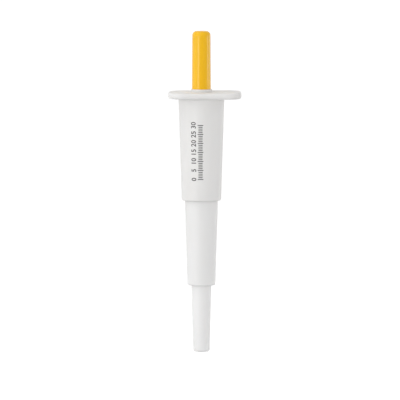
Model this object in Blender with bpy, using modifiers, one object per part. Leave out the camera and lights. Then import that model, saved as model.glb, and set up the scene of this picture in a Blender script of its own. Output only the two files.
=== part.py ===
"""Fixed-volume mini micropipette, 30 microlitres, as an assembly of separate pieces.

Metres, +Z up. The origin lies on the plunger's axis in the plane of the finger flange's underside,
where a stand's fork carries the pipette. The long side of the flange points along X.
"""

import math

import bmesh
import bpy

MM = 0.001

# Fits between neighbouring pieces
SLIDING_GAP = 0.12 * MM
SEAL_GAP = 0.05 * MM
PRESS_GAP = 0.06 * MM
SEAT_GAP = 0.2 * MM
STOP_GAP = 0.05 * MM

# Stroke: a 2.0 mm piston displaces 30 microlitres in 9.55 mm
STROKE = 9.55 * MM
BLOWOUT_TRAVEL = 2.15 * MM
TRAVEL = STROKE + BLOWOUT_TRAVEL

# Rod and piston
ROD_RADIUS = 1.25 * MM
ROD_CHAMFER = 0.3 * MM
ROD_IN_BUTTON = 17.0 * MM
PISTON_RADIUS = 1.0 * MM
PISTON_CHAMFER = 0.25 * MM
PISTON_LEAD = 0.5 * MM

# Push button
BUTTON_RADIUS = 2.85 * MM
BUTTON_TOP_RADIUS = 2.75 * MM
BUTTON_TOP_ROUND = 1.35 * MM
BUTTON_REST_HEIGHT = 17.45 * MM
BUTTON_FOOT_THICKNESS = 1.2 * MM
BUTTON_FOOT_LIP = 0.75 * MM
BUTTON_FOOT_ROUND = 0.2 * MM

# Collar and shoulder of the guide bush
COLLAR_WALL = 0.24 * MM
COLLAR_HEIGHT = 0.85 * MM
COLLAR_ROUND = 0.15 * MM
BUSH_SHOULDER_LENGTH = 1.8 * MM

# Finger flange, a rounded plate that reaches further on its right side
FLANGE_LEFT_REACH = 10.05 * MM
FLANGE_RIGHT_REACH = 12.0 * MM
FLANGE_DEPTH = 16.0 * MM
FLANGE_THICKNESS = 1.9 * MM
FLANGE_LEFT_CORNER = 5.4 * MM
FLANGE_RIGHT_CORNER = 3.7 * MM
FLANGE_EDGE_ROUND = 0.75 * MM
FLANGE_EDGE_LIMIT = 0.45
FLANGE_ROOT_FILLET = 0.5 * MM

# Upper housing
HOUSING_LENGTH = 30.7 * MM
HOUSING_TOP_WALL = 1.79 * MM
HOUSING_FOOT_WALL = 0.82 * MM
HOUSING_FOOT_ROUND = 0.45 * MM
HOUSING_MOUTH_FLARE = 0.26 * MM
HOUSING_ROOF_DEPTH = 0.8 * MM

# Calibration nut and its lock ring
LOCK_RING_THICKNESS = 1.2 * MM
NUT_THICKNESS = 3.0 * MM
SPANNER_SLOT_WIDTH = 1.0 * MM
SPANNER_SLOT_DEPTH = 0.6 * MM

# End coils of the springs: rise of one turn in wire diameters
CLOSE_COIL_PITCH = 1.3

# Return spring with its washer and the stop sleeve inside it
WASHER_THICKNESS = 0.4 * MM
SLEEVE_WALL = 0.8 * MM
SLEEVE_ROUND = 0.25 * MM
SPRING_ROOM = 0.4 * MM
RETURN_WIRE = 0.5 * MM
RETURN_TURNS = 9
RETURN_RESERVE = 0.55 * MM

# Blow-out carriage, spring and washer
CARRIAGE_WALL = 0.83 * MM
CARRIAGE_FLANGE = 1.2 * MM
CARRIAGE_LIP = 0.5 * MM
CARRIAGE_ROUND = 0.2 * MM
CARRIAGE_SLEEVE_LENGTH = 4.6 * MM
BLOWOUT_WIRE = 0.7 * MM
BLOWOUT_TURNS = 5
BLOWOUT_RESERVE = 0.35 * MM
BLOWOUT_WASHER_THICKNESS = 0.6 * MM

# Piston holder and the spacer tube round it
HOLDER_WALL = 0.94 * MM
HOLDER_LENGTH = 6.2 * MM
ROD_IN_HOLDER = 3.0 * MM
HOLDER_WEB = 0.8 * MM
HOLDER_ROUND = 0.25 * MM
HOLDER_RESERVE = 0.4 * MM
HOLDER_GAP = 0.6 * MM
SPACER_LIP = 1.0 * MM

# Lower barrel
BARREL_NECK_WALL = 1.08 * MM
BARREL_NECK_LENGTH = 9.15 * MM
BARREL_NECK_ROUND = 0.25 * MM
BARREL_FOOT_WALL = 0.72 * MM
BARREL_FOOT_ROUND = 0.5 * MM
BARREL_MOUTH_LENGTH = 4.97 * MM

# Rubber ring in the barrel's neck
NECK_RING_WIRE = 0.7 * MM
NECK_RING_DROP = 2.6 * MM

# Tip cone
CONE_TOP_RADIUS = 2.99 * MM
CONE_END_RADIUS = 2.49 * MM
CONE_LENGTH = 20.0 * MM
CONE_END_ROUND = 0.68 * MM
CONE_LIP = 0.37 * MM
CONE_FLANGE = 1.2 * MM
CONE_CUP_WALL = 0.74 * MM
CONE_BORE_RADIUS = 0.6 * MM
CHANNEL_RESERVE = 0.9 * MM

# Seal stack in the cone's cup
SEAL_WIRE = 0.4 * MM
SEAL_TURNS = 4
SEAL_SPRING_LENGTH = 3.5 * MM
PUSHER_FLANGE = 0.7 * MM
PUSHER_SKIRT = 0.7 * MM
SEAL_RING_WIRE = 0.9 * MM
SEAL_LENGTH = 1.2 * MM

# Facets: sides of a turned shell, of an inner piece, of a spring's turn and of a rubber ring's section,
# segments of one rounding, of the flange's corner and of a wire's quarter
SHELL_SIDES = 36
INNER_SIDES = 24
SPRING_SIDES = 14
RING_SECTION_SIDES = 10
ROUND_STEPS = 3
CORNER_STEPS = 6
WIRE_STEPS = 2
MERGE = 1e-6

# Angles: what is shaded sharp, what counts as a rim of the flange, and what counts as no corner
SHARP_ANGLE = math.radians(35)
RIM_ANGLE = math.radians(60)
STRAIGHT_ANGLE = math.radians(179)
QUARTER_TURN = math.radians(90)

# Helpers: how far a cutter runs past what it cuts, and the size of an axis mark
OVERRUN = 1.0 * MM
AXIS_MARK = 2.0 * MM

# Radii that follow from the sizes above, from the axis outwards
BUSH_BORE = BUTTON_RADIUS + SLIDING_GAP
COLLAR_RADIUS = BUSH_BORE + COLLAR_WALL
ROD_SOCKET = ROD_RADIUS + PRESS_GAP
SLEEVE_RADIUS = ROD_SOCKET + SLEEVE_WALL
RETURN_SPRING_RADIUS = SLEEVE_RADIUS + SPRING_ROOM + RETURN_WIRE / 2
BUTTON_FOOT_RADIUS = RETURN_SPRING_RADIUS + RETURN_WIRE / 2 + BUTTON_FOOT_LIP
CARRIAGE_BORE = ROD_RADIUS + SLIDING_GAP
CARRIAGE_SLEEVE = CARRIAGE_BORE + CARRIAGE_WALL
BLOWOUT_SPRING_RADIUS = CARRIAGE_SLEEVE + SPRING_ROOM + BLOWOUT_WIRE / 2
CARRIAGE_RADIUS = BLOWOUT_SPRING_RADIUS + BLOWOUT_WIRE / 2 + CARRIAGE_LIP
BARREL_UPPER_BORE = CARRIAGE_RADIUS + SLIDING_GAP
BARREL_NECK_RADIUS = BARREL_UPPER_BORE + BARREL_NECK_WALL
HOUSING_BORE = BARREL_NECK_RADIUS + SLIDING_GAP
HOUSING_FOOT_RADIUS = HOUSING_BORE + HOUSING_FOOT_WALL
HOUSING_TOP_RADIUS = HOUSING_BORE + HOUSING_TOP_WALL
HOUSING_INSERT_RADIUS = HOUSING_BORE - PRESS_GAP
HOLDER_RADIUS = ROD_SOCKET + HOLDER_WALL
SPACER_BORE = max(HOLDER_RADIUS, CARRIAGE_SLEEVE) + SLIDING_GAP
CONE_FLANGE_RADIUS = CONE_TOP_RADIUS + CONE_LIP
BARREL_LOWER_BORE = CONE_FLANGE_RADIUS + SLIDING_GAP
BARREL_FOOT_RADIUS = BARREL_LOWER_BORE + BARREL_FOOT_WALL
BARREL_MOUTH = CONE_TOP_RADIUS + SLIDING_GAP
CUP_RADIUS = CONE_TOP_RADIUS - CONE_CUP_WALL
CHANNEL_RADIUS = PISTON_RADIUS + SLIDING_GAP
SEAL_BORE = PISTON_RADIUS + SEAL_GAP
SEAL_RADIUS = CUP_RADIUS - PRESS_GAP
SEAL_SPRING_RADIUS = (CHANNEL_RADIUS + CUP_RADIUS) / 2

# Heights that follow, from the top of the button down to the end of the cone
COLLAR_TOP = FLANGE_THICKNESS + COLLAR_HEIGHT
BUTTON_TOP = COLLAR_TOP + BUTTON_REST_HEIGHT
ROOF_UNDERSIDE = -HOUSING_ROOF_DEPTH
SHOULDER_TOP = ROOF_UNDERSIDE - SEAT_GAP
LOCK_RING_TOP = SHOULDER_TOP - BUSH_SHOULDER_LENGTH - SEAT_GAP
NUT_TOP = LOCK_RING_TOP - LOCK_RING_THICKNESS - SEAT_GAP
BUTTON_FOOT_TOP = NUT_TOP - NUT_THICKNESS - SEAT_GAP
BUTTON_UNDERSIDE = BUTTON_FOOT_TOP - BUTTON_FOOT_THICKNESS
WASHER_TOP = BUTTON_UNDERSIDE - PRESS_GAP
RETURN_SPRING_TOP = WASHER_TOP - WASHER_THICKNESS - PRESS_GAP
RETURN_SPRING_LENGTH = STROKE + RETURN_TURNS * RETURN_WIRE + RETURN_RESERVE
CARRIAGE_TOP = RETURN_SPRING_TOP - RETURN_SPRING_LENGTH - PRESS_GAP
SLEEVE_UNDERSIDE = CARRIAGE_TOP + STROKE + STOP_GAP
CARRIAGE_UNDERSIDE = CARRIAGE_TOP - CARRIAGE_FLANGE - CARRIAGE_SLEEVE_LENGTH
BLOWOUT_SPRING_TOP = CARRIAGE_TOP - CARRIAGE_FLANGE - PRESS_GAP
BLOWOUT_SPRING_LENGTH = BLOWOUT_TRAVEL + BLOWOUT_TURNS * BLOWOUT_WIRE + BLOWOUT_RESERVE
BLOWOUT_WASHER_TOP = BLOWOUT_SPRING_TOP - BLOWOUT_SPRING_LENGTH - PRESS_GAP
BARREL_STEP = BLOWOUT_WASHER_TOP - BLOWOUT_WASHER_THICKNESS - SEAT_GAP
SPACER_TOP = BARREL_STEP
HOLDER_TOP = CARRIAGE_UNDERSIDE - HOLDER_GAP
HOLDER_UNDERSIDE = HOLDER_TOP - HOLDER_LENGTH
SPACER_LIP_TOP = HOLDER_UNDERSIDE - TRAVEL - HOLDER_RESERVE
SPACER_UNDERSIDE = SPACER_LIP_TOP - SPACER_LIP
CONE_FLANGE_TOP = SPACER_UNDERSIDE - SEAT_GAP
BARREL_SHELF = CONE_FLANGE_TOP - CONE_FLANGE - SEAT_GAP
BARREL_UNDERSIDE = BARREL_SHELF - BARREL_MOUTH_LENGTH
BARREL_TOP = -HOUSING_LENGTH + BARREL_NECK_LENGTH
NECK_RING_HEIGHT = BARREL_TOP - NECK_RING_DROP
SEAL_SPRING_TOP = CONE_FLANGE_TOP - PRESS_GAP
PUSHER_TOP = SEAL_SPRING_TOP - SEAL_SPRING_LENGTH - PRESS_GAP
SEAL_RING_TOP = PUSHER_TOP - PUSHER_FLANGE - PUSHER_SKIRT - PRESS_GAP
SEAL_TOP = SEAL_RING_TOP - SEAL_RING_WIRE - PRESS_GAP
CUP_FLOOR = SEAL_TOP - SEAL_LENGTH - SEAT_GAP
PISTON_UNDERSIDE = CUP_FLOOR - PISTON_LEAD
CHANNEL_FLOOR = PISTON_UNDERSIDE - TRAVEL - CHANNEL_RESERVE
CONE_END = BARREL_UNDERSIDE - CONE_LENGTH

# Finishes: colour as written on screen, roughness and metallic value
YELLOW_PLASTIC = ("yellow_plastic", (0.93, 0.72, 0.16), 0.35, 0.0)
WHITE_PLASTIC = ("white_plastic", (0.90, 0.90, 0.89), 0.40, 0.0)
NATURAL_PLASTIC = ("natural_plastic", (0.82, 0.81, 0.77), 0.50, 0.0)
SEAL_PLASTIC = ("seal_plastic", (0.95, 0.95, 0.94), 0.60, 0.0)
BLACK_RUBBER = ("black_rubber", (0.10, 0.10, 0.10), 0.75, 0.0)
SPRING_STEEL = ("spring_steel", (0.60, 0.60, 0.61), 0.30, 1.0)
POLISHED_STEEL = ("polished_steel", (0.78, 0.78, 0.79), 0.15, 1.0)


def clear_scene():
    """Remove whatever the file holds, the startup objects included."""
    for obj in list(bpy.data.objects):
        bpy.data.objects.remove(obj, do_unlink=True)


def new_collection(name, hidden=False):
    """Make a collection under the scene's own."""
    collection = bpy.data.collections.new(name)
    collection.hide_render = hidden
    bpy.context.scene.collection.children.link(collection)
    return collection


def linear(channel):
    """Turn a colour channel as written on screen into a linear value."""
    if channel <= 0.04045:
        return channel / 12.92
    return ((channel + 0.055) / 1.055) ** 2.4


def finish(settings):
    """Find or make the Principled material of a finish."""
    name, colour, roughness, metallic = settings
    material = bpy.data.materials.get(name) or bpy.data.materials.new(name)
    material.use_nodes = True
    shader = material.node_tree.nodes["Principled BSDF"]
    shader.inputs["Base Color"].default_value = (*[linear(c) for c in colour], 1.0)
    shader.inputs["Roughness"].default_value = roughness
    shader.inputs["Metallic"].default_value = metallic
    return material


def room(corner, other):
    """Length of the side towards another corner that a rounding may use: half where both are rounded."""
    length = math.dist(corner[:2], other[:2])
    return length / 2 if len(other) == 3 else length


def fillet(before, corner, after):
    """Points of the arc that rounds one corner of a profile, or the corner itself."""
    rounding = corner[2]
    to_before = (before[0] - corner[0], before[1] - corner[1])
    to_after = (after[0] - corner[0], after[1] - corner[1])
    length_before = math.hypot(*to_before)
    length_after = math.hypot(*to_after)
    u = (to_before[0] / length_before, to_before[1] / length_before)
    v = (to_after[0] / length_after, to_after[1] / length_after)
    opening = math.acos(max(-1.0, min(1.0, u[0] * v[0] + u[1] * v[1])))
    if rounding <= 0 or opening > STRAIGHT_ANGLE:
        return [corner[:2]]
    tangent = min(rounding / math.tan(opening / 2), room(corner, before), room(corner, after))
    radius = tangent * math.tan(opening / 2)
    middle = (u[0] + v[0], u[1] + v[1])
    reach = radius / math.sin(opening / 2) / math.hypot(*middle)
    centre = (corner[0] + middle[0] * reach, corner[1] + middle[1] * reach)
    start = (corner[0] + u[0] * tangent - centre[0], corner[1] + u[1] * tangent - centre[1])
    turn = math.pi - opening
    if start[0] * u[1] - start[1] * u[0] > 0:
        turn = -turn
    points = []
    for step in range(ROUND_STEPS + 1):
        angle = turn * step / ROUND_STEPS
        x = centre[0] + start[0] * math.cos(angle) - start[1] * math.sin(angle)
        y = centre[1] + start[0] * math.sin(angle) + start[1] * math.cos(angle)
        points.append((x, y))
    return points


def rounded(corners):
    """Round a profile's corners, given as (radius, height) or (radius, height, rounding)."""
    points = []
    closed = corners[0][0] > 0
    for index, corner in enumerate(corners):
        inner = closed or 0 < index < len(corners) - 1
        if len(corner) == 3 and inner:
            points += fillet(corners[index - 1], corner, corners[(index + 1) % len(corners)])
        else:
            points.append(tuple(corner[:2]))
    return points


def place(name, data, settings, collection, carrier, height):
    """Add an object on the axis at a height, with its finish, under the empty that carries it."""
    obj = bpy.data.objects.new(name, data)
    data.materials.append(finish(settings))
    collection.objects.link(obj)
    obj.location.z = height
    if carrier is not None:
        obj.parent = carrier
        obj.matrix_parent_inverse = carrier.matrix_basis.inverted()
    return obj


def settle(obj):
    """Replace an object's shape by what its modifiers make of it, and shade its round faces smooth."""
    bpy.context.view_layer.update()
    graph = bpy.context.evaluated_depsgraph_get()
    mesh = bpy.data.meshes.new_from_object(obj.evaluated_get(graph))
    form = bmesh.new()
    form.from_mesh(mesh)
    bmesh.ops.remove_doubles(form, verts=form.verts, dist=MERGE)
    form.to_mesh(mesh)
    form.free()
    mesh.name = obj.name
    mesh.shade_smooth()
    mesh.set_sharp_from_angle(angle=SHARP_ANGLE)
    obj.modifiers.clear()
    return mesh


def turned(name, corners, sides, settings, collection, carrier=None, height=0.0):
    """Turn a profile about the axis. It runs down the outer side, then back up the bore if it has one."""
    points = rounded(corners)
    edges = [(index, index + 1) for index in range(len(points) - 1)]
    if points[0][0] > 0:
        edges.append((len(points) - 1, 0))
    profile = bpy.data.meshes.new(name)
    profile.from_pydata([(radius, 0.0, z) for radius, z in points], edges, [])
    obj = place(name, profile, settings, collection, carrier, height)
    screw = obj.modifiers.new("turn", "SCREW")
    screw.axis = "Z"
    screw.steps = sides
    screw.render_steps = sides
    screw.use_merge_vertices = True
    screw.merge_threshold = MERGE
    obj.data = settle(obj)
    return obj


def coil(name, radius, wire, turns, length, settings, collection, carrier, height):
    """Wind a compression spring downwards from a height, with a close coil at each end."""
    close_pitch = CLOSE_COIL_PITCH * wire
    open_pitch = (length - wire - 2 * close_pitch) / (turns - 2)
    path = bpy.data.curves.new(name, "CURVE")
    path.dimensions = "3D"
    path.bevel_depth = wire / 2
    path.bevel_resolution = WIRE_STEPS
    path.use_fill_caps = True
    spline = path.splines.new("POLY")
    count = turns * SPRING_SIDES + 1
    spline.points.add(count - 1)
    for index in range(count):
        wound = index / SPRING_SIDES
        open_turns = min(max(wound - 1, 0), turns - 2)
        drop = (wound - open_turns) * close_pitch + open_turns * open_pitch
        angle = math.tau * wound
        place_on_path = (radius * math.cos(angle), radius * math.sin(angle), -wire / 2 - drop, 1.0)
        spline.points[index].co = place_on_path
    obj = place(name, path, settings, collection, carrier, height)
    mesh = settle(obj)
    mesh.materials.clear()
    bpy.data.objects.remove(obj, do_unlink=True)
    return place(name, mesh, settings, collection, carrier, height)


def ring(name, outer, wire, sides, settings, collection, carrier, top):
    """Make a rubber ring of round section from its outer radius and the height of its top."""
    bpy.ops.mesh.primitive_torus_add(
        major_segments=sides,
        minor_segments=RING_SECTION_SIDES,
        major_radius=outer - wire / 2,
        minor_radius=wire / 2,
    )
    made = bpy.context.object
    mesh = made.data
    mesh.name = name
    mesh.shade_smooth()
    bpy.data.objects.remove(made, do_unlink=True)
    return place(name, mesh, settings, collection, carrier, top - wire / 2)


def tube(outer, bore, length, rounding=0.0):
    """Profile of a plain ring or washer, from its top face at height 0 downwards."""
    return [(outer, 0.0, rounding), (outer, -length, rounding), (bore, -length), (bore, 0.0)]


def cut(obj, cutter, operation="DIFFERENCE"):
    """Cut one object by another, or join another to it."""
    boolean = obj.modifiers.new(operation.lower(), "BOOLEAN")
    boolean.operation = operation
    boolean.solver = "EXACT"
    boolean.object = cutter


def hide(obj):
    """Mark an object as a helper that isn't part of the pipette."""
    obj.hide_render = True
    obj.display_type = "WIRE"


def axis_empty(name, height, collection, carrier=None):
    """Add an empty on the plunger's axis, to carry pieces that move together."""
    empty = bpy.data.objects.new(name, None)
    empty.empty_display_size = AXIS_MARK
    collection.objects.link(empty)
    empty.location.z = height
    if carrier is not None:
        empty.parent = carrier
        empty.location.z = height - carrier.location.z
    bpy.context.view_layer.update()
    return empty


def flange_outline():
    """Points of the finger flange seen from above, anticlockwise from its right back corner."""
    half = FLANGE_DEPTH / 2
    left = min(FLANGE_LEFT_CORNER, half)
    right = min(FLANGE_RIGHT_CORNER, half)
    corners = [
        (FLANGE_RIGHT_REACH - right, half - right, right),
        (left - FLANGE_LEFT_REACH, half - left, left),
        (left - FLANGE_LEFT_REACH, left - half, left),
        (FLANGE_RIGHT_REACH - right, right - half, right),
    ]
    points = []
    for quarter, (x, y, radius) in enumerate(corners):
        for step in range(CORNER_STEPS + 1):
            angle = QUARTER_TURN * (quarter + step / CORNER_STEPS)
            points.append((x + radius * math.cos(angle), y + radius * math.sin(angle)))
    return points


def flange_plate(cutters):
    """Flat plate of the finger flange with rounded rims, which the housing is joined to."""
    outline = bpy.data.curves.new("flange_outline", "CURVE")
    outline.dimensions = "2D"
    outline.fill_mode = "BOTH"
    outline.extrude = FLANGE_THICKNESS / 2
    points = flange_outline()
    spline = outline.splines.new("POLY")
    spline.use_cyclic_u = True
    spline.points.add(len(points) - 1)
    for point, (x, y) in zip(spline.points, points):
        point.co = (x, y, 0.0, 1.0)
    flat = place("flange_outline", outline, WHITE_PLASTIC, cutters, None, FLANGE_THICKNESS / 2)
    mesh = settle(flat)
    mesh.materials.clear()
    bpy.data.objects.remove(flat, do_unlink=True)
    plate = place("flange_plate", mesh, WHITE_PLASTIC, cutters, None, FLANGE_THICKNESS / 2)
    rim = plate.modifiers.new("rim", "BEVEL")
    rim.limit_method = "ANGLE"
    rim.angle_limit = RIM_ANGLE
    rim.width = min(FLANGE_EDGE_ROUND, FLANGE_EDGE_LIMIT * FLANGE_THICKNESS)
    rim.segments = ROUND_STEPS
    hide(plate)
    return plate


def upper_housing(parts, cutters, carrier):
    """Tapered shell with the finger flange, a filleted root, a roof with the bush's hole and a plain bore."""
    inside_flange = FLANGE_THICKNESS / 2
    root = HOUSING_TOP_RADIUS + FLANGE_ROOT_FILLET
    shell = [
        (0.0, inside_flange),
        (root, inside_flange),
        (root, 0.0),
        (HOUSING_TOP_RADIUS, 0.0, FLANGE_ROOT_FILLET),
        (HOUSING_FOOT_RADIUS, -HOUSING_LENGTH, HOUSING_FOOT_ROUND),
        (0.0, -HOUSING_LENGTH),
    ]
    housing = turned("upper_housing", shell, SHELL_SIDES, WHITE_PLASTIC, parts, carrier)
    hole = COLLAR_RADIUS + PRESS_GAP
    mouth = HOUSING_BORE + HOUSING_MOUTH_FLARE
    core_profile = [
        (0.0, FLANGE_THICKNESS + OVERRUN),
        (hole, FLANGE_THICKNESS + OVERRUN),
        (hole, ROOF_UNDERSIDE),
        (HOUSING_BORE, ROOF_UNDERSIDE),
        (HOUSING_BORE, -HOUSING_LENGTH + HOUSING_FOOT_ROUND),
        (mouth, -HOUSING_LENGTH),
        (mouth, -HOUSING_LENGTH - OVERRUN),
        (0.0, -HOUSING_LENGTH - OVERRUN),
    ]
    core = turned("housing_core", core_profile, SHELL_SIDES, WHITE_PLASTIC, cutters)
    hide(core)
    cut(housing, flange_plate(cutters), "UNION")
    cut(housing, core)


def guide_bush(parts, carrier):
    """Collar that the button slides through, held under the housing's roof by its shoulder."""
    profile = [
        (COLLAR_RADIUS, COLLAR_TOP, COLLAR_ROUND),
        (COLLAR_RADIUS, SHOULDER_TOP),
        (HOUSING_INSERT_RADIUS, SHOULDER_TOP),
        (HOUSING_INSERT_RADIUS, SHOULDER_TOP - BUSH_SHOULDER_LENGTH),
        (BUSH_BORE, SHOULDER_TOP - BUSH_SHOULDER_LENGTH),
        (BUSH_BORE, COLLAR_TOP),
    ]
    turned("guide_bush", profile, SHELL_SIDES, WHITE_PLASTIC, parts, carrier)


def slotted_ring(name, top, thickness, parts, cutters, carrier):
    """Threaded ring of the calibration stack, with a spanner slot across its underside."""
    profile = tube(HOUSING_INSERT_RADIUS, BUSH_BORE, thickness)
    made = turned(name, profile, INNER_SIDES, NATURAL_PLASTIC, parts, carrier, top)
    form = bmesh.new()
    bmesh.ops.create_cube(form, size=1.0)
    size = (SPANNER_SLOT_WIDTH, 2 * (HOUSING_INSERT_RADIUS + OVERRUN), 2 * SPANNER_SLOT_DEPTH)
    bmesh.ops.scale(form, vec=size, verts=form.verts)
    mesh = bpy.data.meshes.new(name + "_slot")
    form.to_mesh(mesh)
    form.free()
    slot = place(name + "_slot", mesh, NATURAL_PLASTIC, cutters, None, top - thickness)
    hide(slot)
    cut(made, slot)


def push_button(parts, carrier):
    """Long button with a rounded top, a blind socket for the rod and a foot that stops on the nut."""
    body = BUTTON_TOP - BUTTON_FOOT_TOP
    taper_start = COLLAR_TOP - BUTTON_FOOT_TOP
    socket_end = ROD_IN_BUTTON - BUTTON_FOOT_THICKNESS + SEAT_GAP
    profile = [
        (0.0, body),
        (BUTTON_TOP_RADIUS, body, BUTTON_TOP_ROUND),
        (BUTTON_RADIUS, taper_start),
        (BUTTON_RADIUS, 0.0),
        (BUTTON_FOOT_RADIUS, 0.0, BUTTON_FOOT_ROUND),
        (BUTTON_FOOT_RADIUS, -BUTTON_FOOT_THICKNESS, BUTTON_FOOT_ROUND),
        (ROD_SOCKET, -BUTTON_FOOT_THICKNESS),
        (ROD_SOCKET, socket_end),
        (0.0, socket_end),
    ]
    turned("push_button", profile, SHELL_SIDES, YELLOW_PLASTIC, parts, carrier, BUTTON_FOOT_TOP)


def plunger_rod(parts, carrier):
    """Steel rod from the button's socket down to the piston holder."""
    top = BUTTON_UNDERSIDE + ROD_IN_BUTTON
    bottom = HOLDER_TOP - ROD_IN_HOLDER
    length = top - bottom
    profile = [
        (0.0, 0.0),
        (ROD_RADIUS - ROD_CHAMFER, 0.0),
        (ROD_RADIUS, -ROD_CHAMFER),
        (ROD_RADIUS, ROD_CHAMFER - length),
        (ROD_RADIUS - ROD_CHAMFER, -length),
        (0.0, -length),
    ]
    turned("plunger_rod", profile, INNER_SIDES, POLISHED_STEEL, parts, carrier, top)


def piston(parts, carrier):
    """Polished piston from the holder down through the seal, with a chamfered end."""
    top = HOLDER_TOP - ROD_IN_HOLDER - SEAT_GAP - HOLDER_WEB - SEAT_GAP
    length = top - PISTON_UNDERSIDE
    profile = [
        (0.0, 0.0),
        (PISTON_RADIUS, 0.0),
        (PISTON_RADIUS, PISTON_CHAMFER - length),
        (PISTON_RADIUS - PISTON_CHAMFER, -length),
        (0.0, -length),
    ]
    turned("piston", profile, INNER_SIDES, POLISHED_STEEL, parts, carrier, top)


def piston_holder(parts, cutters, carrier):
    """Sleeve that joins the rod above its web to the thinner piston below it."""
    outside = [
        (0.0, 0.0),
        (HOLDER_RADIUS, 0.0, HOLDER_ROUND),
        (HOLDER_RADIUS, -HOLDER_LENGTH, HOLDER_ROUND),
        (0.0, -HOLDER_LENGTH),
    ]
    holder = turned("piston_holder", outside, INNER_SIDES, NATURAL_PLASTIC, parts, carrier, HOLDER_TOP)
    web_top = -ROD_IN_HOLDER - SEAT_GAP
    sockets = {
        "rod_socket": (ROD_SOCKET, OVERRUN, web_top),
        "piston_socket": (PISTON_RADIUS + PRESS_GAP, web_top - HOLDER_WEB, -HOLDER_LENGTH - OVERRUN),
    }
    for name, (radius, top, bottom) in sockets.items():
        profile = [(0.0, top), (radius, top), (radius, bottom), (0.0, bottom)]
        socket = turned(name, profile, INNER_SIDES, NATURAL_PLASTIC, cutters, None, HOLDER_TOP)
        hide(socket)
        cut(holder, socket)


def stop_sleeve(parts, carrier):
    """Sleeve round the rod under the spring washer, whose lower end is the first stop."""
    top = RETURN_SPRING_TOP
    profile = tube(SLEEVE_RADIUS, ROD_SOCKET, top - SLEEVE_UNDERSIDE, SLEEVE_ROUND)
    turned("stop_sleeve", profile, INNER_SIDES, NATURAL_PLASTIC, parts, carrier, top)


def blowout_carriage(parts, carrier):
    """Flanged seat of the return spring, with a sleeve that centres the blow-out spring."""
    bottom = CARRIAGE_UNDERSIDE - CARRIAGE_TOP
    profile = [
        (CARRIAGE_RADIUS, 0.0, CARRIAGE_ROUND),
        (CARRIAGE_RADIUS, -CARRIAGE_FLANGE),
        (CARRIAGE_SLEEVE, -CARRIAGE_FLANGE),
        (CARRIAGE_SLEEVE, bottom, CARRIAGE_ROUND),
        (CARRIAGE_BORE, bottom),
        (CARRIAGE_BORE, 0.0),
    ]
    turned("blowout_carriage", profile, INNER_SIDES, NATURAL_PLASTIC, parts, carrier, CARRIAGE_TOP)


def lower_barrel(parts, carrier):
    """Tapered barrel with a straight neck in the housing, a ring groove, an inner step and a shelf."""
    groove = HOUSING_BORE - NECK_RING_WIRE - 2 * PRESS_GAP
    groove_half = NECK_RING_WIRE / 2 + PRESS_GAP
    profile = [
        (BARREL_NECK_RADIUS, BARREL_TOP, BARREL_NECK_ROUND),
        (BARREL_NECK_RADIUS, NECK_RING_HEIGHT + groove_half),
        (groove, NECK_RING_HEIGHT + groove_half),
        (groove, NECK_RING_HEIGHT - groove_half),
        (BARREL_NECK_RADIUS, NECK_RING_HEIGHT - groove_half),
        (BARREL_NECK_RADIUS, -HOUSING_LENGTH),
        (BARREL_FOOT_RADIUS, BARREL_UNDERSIDE, BARREL_FOOT_ROUND),
        (BARREL_MOUTH, BARREL_UNDERSIDE),
        (BARREL_MOUTH, BARREL_SHELF),
        (BARREL_LOWER_BORE, BARREL_SHELF),
        (BARREL_LOWER_BORE, BARREL_STEP),
        (BARREL_UPPER_BORE, BARREL_STEP),
        (BARREL_UPPER_BORE, BARREL_TOP),
    ]
    turned("lower_barrel", profile, SHELL_SIDES, WHITE_PLASTIC, parts, carrier)


def barrel_spacer(parts, carrier):
    """Tube that holds the tip cone down, with a lip at its foot for the seal spring."""
    lip = SPACER_LIP_TOP - SPACER_TOP
    bottom = SPACER_UNDERSIDE - SPACER_TOP
    profile = [
        (CONE_FLANGE_RADIUS, 0.0),
        (CONE_FLANGE_RADIUS, bottom),
        (CHANNEL_RADIUS, bottom),
        (CHANNEL_RADIUS, lip),
        (SPACER_BORE, lip),
        (SPACER_BORE, 0.0),
    ]
    turned("barrel_spacer", profile, INNER_SIDES, NATURAL_PLASTIC, parts, carrier, SPACER_TOP)


def tip_cone(parts, carrier):
    """Cone for the disposable tip, with a flange inside the barrel, a seal cup and the air channel."""
    profile = [
        (CONE_FLANGE_RADIUS, CONE_FLANGE_TOP),
        (CONE_FLANGE_RADIUS, CONE_FLANGE_TOP - CONE_FLANGE),
        (CONE_TOP_RADIUS, CONE_FLANGE_TOP - CONE_FLANGE),
        (CONE_TOP_RADIUS, BARREL_UNDERSIDE),
        (CONE_END_RADIUS, CONE_END, CONE_END_ROUND),
        (CONE_BORE_RADIUS, CONE_END),
        (CONE_BORE_RADIUS, CHANNEL_FLOOR - CHANNEL_RADIUS + CONE_BORE_RADIUS),
        (CHANNEL_RADIUS, CHANNEL_FLOOR),
        (CHANNEL_RADIUS, CUP_FLOOR),
        (CUP_RADIUS, CUP_FLOOR),
        (CUP_RADIUS, CONE_FLANGE_TOP),
    ]
    turned("tip_cone", profile, SHELL_SIDES, WHITE_PLASTIC, parts, carrier)


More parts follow.
